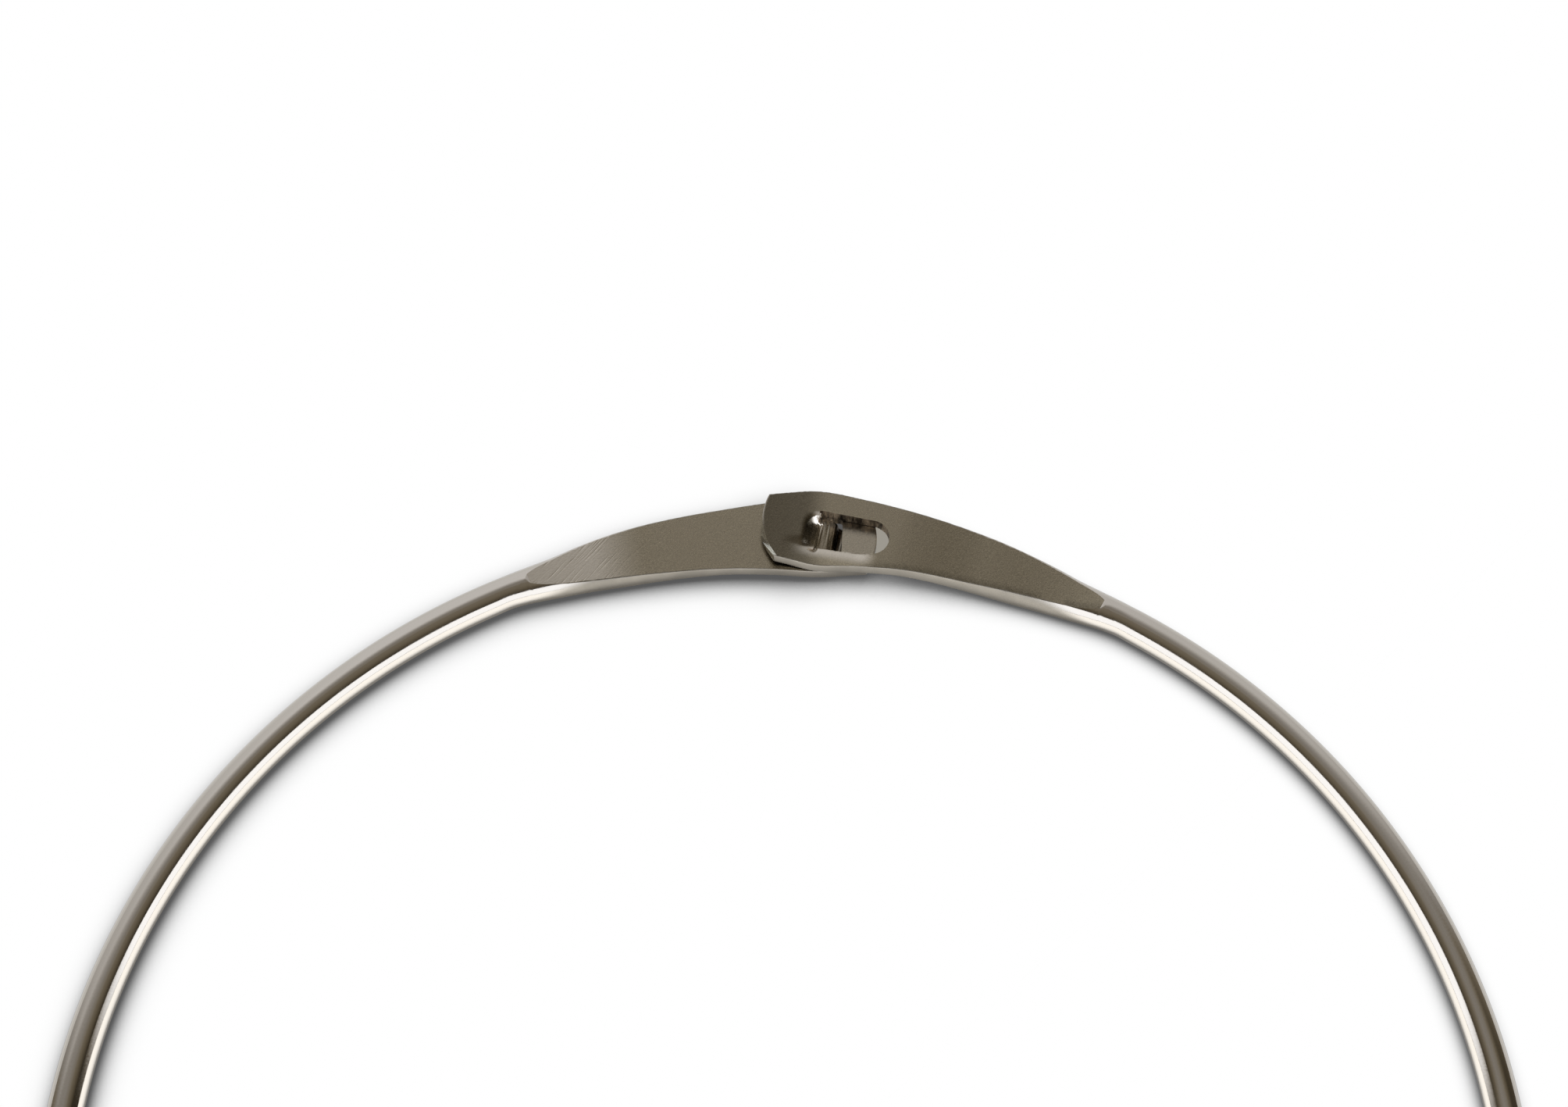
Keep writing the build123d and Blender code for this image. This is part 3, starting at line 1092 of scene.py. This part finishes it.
def wire_finish(finish):
    """Bright nickel on drawn wire: faint lines along the ring and a soft uneven gloss."""
    material, nodes, place = new_material("bright_nickel")
    x, y, height = nodes.split(place)
    flat = nodes.add("ShaderNodeCombineXYZ", {0: x, 1: y}).outputs[0]
    radius = nodes.add("ShaderNodeVectorMath", {0: flat}, operation="LENGTH").outputs["Value"]
    drawn_out = nodes.math("MULTIPLY", nodes.math("ARCTAN2", x, y), 0.0006)
    lines = nodes.add("ShaderNodeCombineXYZ", {0: radius, 1: height, 2: drawn_out}).outputs[0]
    patches = nodes.noise(place, 420.0, 4.0)
    relief = 0.02 * MM
    normal = nodes.bump(nodes.noise(lines, 9000.0, 3.0), 0.05, relief)
    normal = nodes.bump(nodes.noise(place, 5200.0), 0.07, relief, normal)
    rough = finish.wire_roughness
    gloss = nodes.spread(patches, 0.3, 0.7, rough * 0.75, rough * 1.35, "LINEAR")
    dull = nodes.mottle(patches, finish.squeezed, (0.30, 0.88), (0.70, 1.12))
    # Squeezed sides: duller plate, darker partly as painted shade
    squeezed = nodes.attribute("squeezed")
    tone = nodes.blend_tones(squeezed, opaque(finish.nickel), dull)
    nodes.metal(tone, nodes.blend(squeezed, gloss, finish.squeezed_roughness), normal)
    return material


def hair_scratches(nodes, place, finish):
    """Fine lines that lean across the flats, and that show on the left blade."""
    long_way = {"Vector": place, "Rotation": (0, 0, radians(54)), "Scale": (22.0, 1.0, 22.0)}
    leaning = nodes.add("ShaderNodeMapping", long_way, vector_type="TEXTURE").outputs[0]
    lines = nodes.ramp(nodes.noise(leaning, 1 / finish.scratch), ((0.55, 0.0), (0.66, 1.0)))
    filed = nodes.spread(nodes.split(place)[0], -12 * MM, -16 * MM, 0.1)
    return nodes.math("MULTIPLY", lines, filed)


def painted_shade_share(nodes, place, finish):
    """Painted shade in recesses, on the upper tip and in marked places, as a share of brightness.
    """
    near = {"Distance": finish.recess_shade_reach}
    # Painted shade in recesses: the tone darkens where the ambient occlusion is low
    recess = nodes.add("ShaderNodeAmbientOcclusion", near, samples=8, only_local=True).outputs["AO"]
    lit_share = nodes.spread(recess, 0.12, 0.62)
    side, _, height = nodes.split(place)
    # Painted shade on the upper tip: darker above a height, towards its end
    tip_shade = nodes.spread(side, 1.0 * MM, -1.2 * MM, 1.0, finish.dull)
    on_top = nodes.math("GREATER_THAN", height, finish.top)
    lit_share = nodes.math("MULTIPLY", lit_share, nodes.blend(on_top, 1.0, tip_shade))
    # Painted shade where the attribute marks it, with a ragged edge
    ragged = nodes.math("MULTIPLY_ADD", nodes.noise(place, 4500.0, 3.0), 2.4, -0.2)
    soiled = nodes.math("MULTIPLY", nodes.attribute("soiled"), ragged)
    soiled = nodes.math("MINIMUM", soiled, 0.85)
    return nodes.math("MULTIPLY", lit_share, nodes.math("SUBTRACT", 1.0, soiled))


def pressed_finish(finish):
    """Satin nickel on the pressed flats: fine grain, with hair scratches across it."""
    material, nodes, place = new_material("pressed_nickel")
    grain = nodes.noise(place, 1 / finish.grain, 3.0)
    fine = nodes.noise(place, 2.6 / finish.grain, 1.0)
    scratches = hair_scratches(nodes, place, finish)
    height = nodes.math("MULTIPLY_ADD", scratches, -1.2, grain)
    height = nodes.math("MULTIPLY_ADD", fine, 0.35, height)
    speckle = nodes.math("MULTIPLY_ADD", fine, 0.5, nodes.math("MULTIPLY", grain, 0.5))
    speckle = nodes.math("MULTIPLY_ADD", scratches, 0.10, speckle)
    tone = nodes.mottle(speckle, finish.pressed, (0.30, 0.64), (0.72, 1.34))
    # Painted shade scales the tone down
    shade_scale = {0: tone, "Scale": painted_shade_share(nodes, place, finish)}
    tone = nodes.add("ShaderNodeVectorMath", shade_scale, operation="SCALE").outputs[0]
    # Painted highlight: the flats turn brighter and glossier where this attribute is high
    burnished = nodes.attribute("burnished")
    tone = nodes.blend_tones(burnished, tone, shaded(finish.nickel, 1.3))
    rough = finish.pressed_roughness
    satin = nodes.spread(fine, 0.3, 0.7, rough * 0.9, rough * 1.12, "LINEAR")
    roughness = nodes.blend(burnished, satin, finish.wire_roughness * 1.5)
    nodes.metal(tone, roughness, nodes.bump(height, 0.24, 0.03 * MM))
    return material


def cut_finish(finish):
    """Bare metal on the cut ends of the tips, near white as a painted highlight."""
    material, nodes, place = new_material("cut_nickel")
    normal = nodes.bump(nodes.noise(place, 5000.0), 0.5, 0.04 * MM)
    nodes.metal(shaded(finish.nickel, 1.6), finish.pressed_roughness, normal)
    return material


def sheared_finish(finish):
    """Torn metal on the punched walls: upright streaks, coarse grain, dark tone partly painted
    shade.
    """
    material, nodes, place = new_material("sheared_nickel")
    long_way = {"Vector": place, "Scale": (1.0, 1.0, 0.22)}
    upright = nodes.add("ShaderNodeMapping", long_way).outputs[0]
    torn = nodes.noise(upright, 7000.0, 3.0)
    height = nodes.math("MULTIPLY_ADD", nodes.noise(place, 4200.0, 4.0), 0.7, torn)
    patches = nodes.math("MULTIPLY_ADD", nodes.noise(upright, 1500.0), 1.4, torn)
    patches = nodes.math("MULTIPLY", patches, 0.42)
    tone = nodes.mottle(patches, finish.torn, (0.40, 0.5), (0.60, 4.2))
    nodes.metal(tone, finish.torn_roughness, nodes.bump(height, 0.45, 0.05 * MM))
    return material


# --- Stage -------------------------------------------------------------------------------


def floor_shade(stage, ring, nodes, place, openness):
    """Shade that is seen on the floor, and the light through the slot's round end."""
    left = nodes.spread(nodes.split(place)[0], 3 * MM, -3 * MM, 0.0, 0.095)
    shade = nodes.math("SUBTRACT", openness, left)
    shade = nodes.spread(shade, stage.dark, stage.open, 0.10)
    # Painted pool of light: the floor is brighter within a distance of one point under the slot's
    # end
    pool = slot_place(ring, ring.slot_length - 0.6 * MM, 1.35 * MM)
    away = nodes.add("ShaderNodeVectorMath", {0: place, 1: pool}, operation="DISTANCE")
    through = nodes.spread(away.outputs["Value"], 1.7 * MM, 2.1 * MM, stage.slot_light, 0.0)
    return nodes.math("MAXIMUM", shade, through), through


def floor_in_metal(stage, ring, nodes, place, openness):
    """Brightness of the floor as the metal shows it, less outside the ring."""
    radius = nodes.add("ShaderNodeVectorMath", {0: place}, operation="LENGTH").outputs["Value"]
    in_ring = 0.5
    stops = (
        (in_ring, stage.floor_gloss),
        (in_ring * (1 + MM / ring.ring_radius), 1.0),
        (in_ring * (1 + 6 * MM / ring.ring_radius), stage.floor_back),
    )
    beyond = nodes.ramp(nodes.math("MULTIPLY", radius, in_ring / ring.ring_radius), stops)
    shade = nodes.spread(openness, stage.dark + 0.34, stage.open + 0.15, 0.20)
    return nodes.math("MULTIPLY", shade, beyond)


# Tints of the floor, from deep shade to open floor and from shade to the pool of light
SHADE_TINT = ((0.0, (1.0, 0.90, 0.78, 1.0)), (0.5, 1.0))
POOL_TINT = ((0.0, 1.0), (0.2, (1.0, 0.94, 0.82, 1.0)))


def add_floor(stage, ring):
    """Pale floor that holds the shade where the ring lies on it."""
    bpy.ops.object.select_all(action="DESELECT")
    bpy.ops.mesh.primitive_plane_add(size=stage.floor_size)
    floor = bpy.context.object
    floor.name = "floor"
    material, nodes, place = new_material("pale_floor")
    near = {"Distance": stage.contact}
    openness = nodes.add("ShaderNodeAmbientOcclusion", near, samples=32).outputs["AO"]
    shade, through = floor_shade(stage, ring, nodes, place, openness)
    reflected = floor_in_metal(stage, ring, nodes, place, openness)
    warm, tint = nodes.ramp(through, POOL_TINT), nodes.ramp(shade, SHADE_TINT)
    seen = nodes.add("ShaderNodeEmission", {"Color": warm, "Strength": shade})
    in_metal = nodes.add("ShaderNodeEmission", {"Color": tint, "Strength": reflected})
    lit = nodes.add("ShaderNodeBsdfDiffuse", {"Color": opaque([stage.floor_bounce] * 3)})
    ray = nodes.add("ShaderNodeLightPath").outputs
    mirrored = nodes.math("MAXIMUM", ray["Is Glossy Ray"], ray["Is Transmission Ray"])
    other = nodes.mix_shaders(mirrored, lit, in_metal)
    both = nodes.mix_shaders(ray["Is Camera Ray"], other, seen)
    nodes.add("ShaderNodeOutputMaterial", {"Surface": both.outputs[0]})
    floor.data.materials.append(material)


# Share of the grey card's brightness at a turn from straight behind to the right, in degrees
CARD = (
    (-90, 0.06), (-82, 0.10), (-72, 0.15), (-60, 0.70), (-45, 0.86), (-30, 1.0), (-12, 1.0),
    (10, 0.86), (30, 0.86), (42, 0.66), (52, 0.30), (60, 0.15), (72, 0.07), (90, 0.04),
)
# The same, by the slope upwards of the way that it is seen
CARD_TOP = ((0.0, 1.0), (1.2, 1.0), (1.5, 0.89), (2.0, 0.54), (2.4, 0.35), (3.0, 0.20), (4.0, 0.10))
# Tint of the surround by its brightness, from warm shade to cool white
TINT = (
    (0.0, (1.20, 0.96, 0.60)),
    (0.15, (1.16, 1.0, 0.75)),
    (0.26, (1.05, 1.0, 0.95)),
    (0.56, (1.01, 1.0, 1.0)),
    (0.74, (1.0, 1.0, 1.03)),
    (1.1, (0.97, 1.0, 1.07)),
    (1.6, (0.97, 1.0, 1.07)),
)


def scaled(rows, start, span):
    """Stops for a ramp, from rows whose first column goes from start over a span."""
    return [((at - start) / span, tone) for at, tone in rows]


def card_behind(stage, nodes, right, back, up, turn):
    """Brightness above the floor: a grey card behind, under a dim ceiling."""
    math = nodes.math
    depth = math("MAXIMUM", back, 0.05)
    aside = math("DIVIDE", right, depth)
    slope = math("DIVIDE", up, depth)
    slope = math("MULTIPLY_ADD", math("MAXIMUM", aside, 0.0), 0.8, slope)
    slope = math("MULTIPLY_ADD", math("MINIMUM", aside, 0.0), 0.3, slope)
    circle, steepest = 360, CARD_TOP[-1][0]
    part_of_circle = math("MULTIPLY_ADD", turn, 1 / (2 * pi), 0.5)
    across = nodes.ramp(part_of_circle, scaled(CARD, -circle / 2, circle))
    card_top = nodes.ramp(math("MULTIPLY", slope, 1 / steepest), scaled(CARD_TOP, 0, steepest))
    dark = nodes.spread(up, 0.62, 1.0, stage.corner, stage.ceiling, "LINEAR")
    lifted = math("MULTIPLY_ADD", across, stage.back, math("MULTIPLY", dark, -1.0))
    return math("MULTIPLY_ADD", lifted, card_top, dark)


def light_surround(stage):
    """Studio round the ring: a dim ceiling, a grey card behind and white in front."""
    world = bpy.data.worlds.new("studio")
    bpy.context.scene.world = world
    nodes = Nodes(world)
    math = nodes.math
    right, back, up = nodes.split(nodes.add("ShaderNodeTexCoord").outputs["Generated"])
    turn = math("ARCTAN2", right, back)
    behind = card_behind(stage, nodes, right, back, up, turn)
    low = nodes.spread(math("MULTIPLY_ADD", right, 0.035, up), 0.58, 0.63, 1.0, 0.0)
    ahead = nodes.spread(math("ABSOLUTE", turn), radians(78), radians(92))
    level = nodes.blend(math("MULTIPLY", low, ahead), behind, stage.card)
    brightest = TINT[-1][0]
    stops = [(at, opaque(tone)) for at, tone in scaled(TINT, 0, brightest)]
    tint = nodes.ramp(math("MULTIPLY", level, 1 / brightest), stops)
    surround = nodes.add("ShaderNodeBackground", {"Color": tint, "Strength": level})
    white = nodes.add("ShaderNodeBackground", {"Color": (1, 1, 1, 1), "Strength": 1.0})
    seen = nodes.add("ShaderNodeLightPath").outputs["Is Camera Ray"]
    both = nodes.mix_shaders(seen, surround, white)
    nodes.add("ShaderNodeOutputWorld", {"Surface": both.outputs[0]})


def add_camera(stage, ring):
    """Camera that looks down at the lock."""
    bpy.ops.object.camera_add()
    camera = bpy.context.object
    camera.data.lens = stage.lens
    camera.data.sensor_width = 36.0
    target = Vector((stage.target_side, stage.target_depth, ring.wire_radius))
    turn, rise = stage.azimuth, stage.elevation
    back = Vector((sin(turn) * cos(rise), -cos(turn) * cos(rise), sin(rise)))
    camera.location = target + back * stage.distance
    camera.rotation_euler = (-back).to_track_quat("-Z", "Y").to_euler()
    camera.data.clip_start, camera.data.clip_end = 10 * MM, 10.0
    bpy.context.scene.camera = camera


# --- Operators ---------------------------------------------------------------------------


class KEYRING_OT_add_ring(bpy.types.Operator):
    """Add the ring: round wire, two pressed blades and the hooked tongue, in one piece"""

    bl_idname = "key_ring.add_ring"
    bl_label = "Add Key Ring"

    def execute(self, context):
        ring = ring_values()
        finish = values("key_ring_finish")
        upper = SimpleNamespace(
            hand=1,
            height=ring.upper_height,
            lap=ring.upper_lap,
            crown=ring.upper_crown,
            tip=UPPER_TIP,
            curled=True,
        )
        lower = SimpleNamespace(
            hand=-1,
            height=ring.lower_height,
            lap=ring.lower_lap,
            crown=ring.lower_crown,
            tip=LOWER_TIP,
            curled=False,
        )
        satin, torn = pressed_finish(finish), sheared_finish(finish)
        finishes = (wire_finish(finish), satin, torn, cut_finish(finish))
        piece = add_body(ring, (upper, lower), finishes)
        cut_slot(ring, piece, torn)
        cut_window(ring, piece, torn)
        combine(piece, add_tongue(ring, satin), "UNION")
        mark_painted_light_and_squeeze(ring, piece, upper)
        finish_shading(piece)
        settle(piece)
        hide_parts("ring")
        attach(piece, "root")
        return {"FINISHED"}


class KEYRING_OT_add_stage(bpy.types.Operator):
    """Add the pale floor, the studio light and the camera"""

    bl_idname = "key_ring.add_stage"
    bl_label = "Add Stage"

    def execute(self, context):
        stage = values("key_ring_stage")
        ring = ring_values()
        add_floor(stage, ring)
        light_surround(stage)
        add_camera(stage, ring)
        context.scene.view_settings.view_transform = "Standard"
        return {"FINISHED"}


class KEYRING_PT_sidebar(bpy.types.Panel):
    """Sizes, finish and stage of the key ring"""

    bl_idname = "KEYRING_PT_sidebar"
    bl_label = "Key Ring"
    bl_space_type = "VIEW_3D"
    bl_region_type = "UI"
    bl_category = "Key Ring"

    def draw(self, context):
        for operator in OPERATORS:
            self.layout.operator(operator.bl_idname)
        for name, group in GROUPS.items():
            box = self.layout.box()
            box.label(text=group.__doc__)
            for key in group.__annotations__:
                box.prop(getattr(context.scene, name), key)


OPERATORS = (KEYRING_OT_add_ring, KEYRING_OT_add_stage)


def register():
    for item in (*GROUPS.values(), *OPERATORS, KEYRING_PT_sidebar):
        bpy.utils.register_class(item)
    for name, group in GROUPS.items():
        setattr(bpy.types.Scene, name, PointerProperty(type=group))


def unregister():
    for name in GROUPS:
        delattr(bpy.types.Scene, name)
    for item in reversed((*GROUPS.values(), *OPERATORS, KEYRING_PT_sidebar)):
        bpy.utils.unregister_class(item)


def main():
    register()
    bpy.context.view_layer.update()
    bpy.ops.key_ring.add_ring()
    bpy.ops.key_ring.add_stage()


if __name__ == "__main__":
    main()
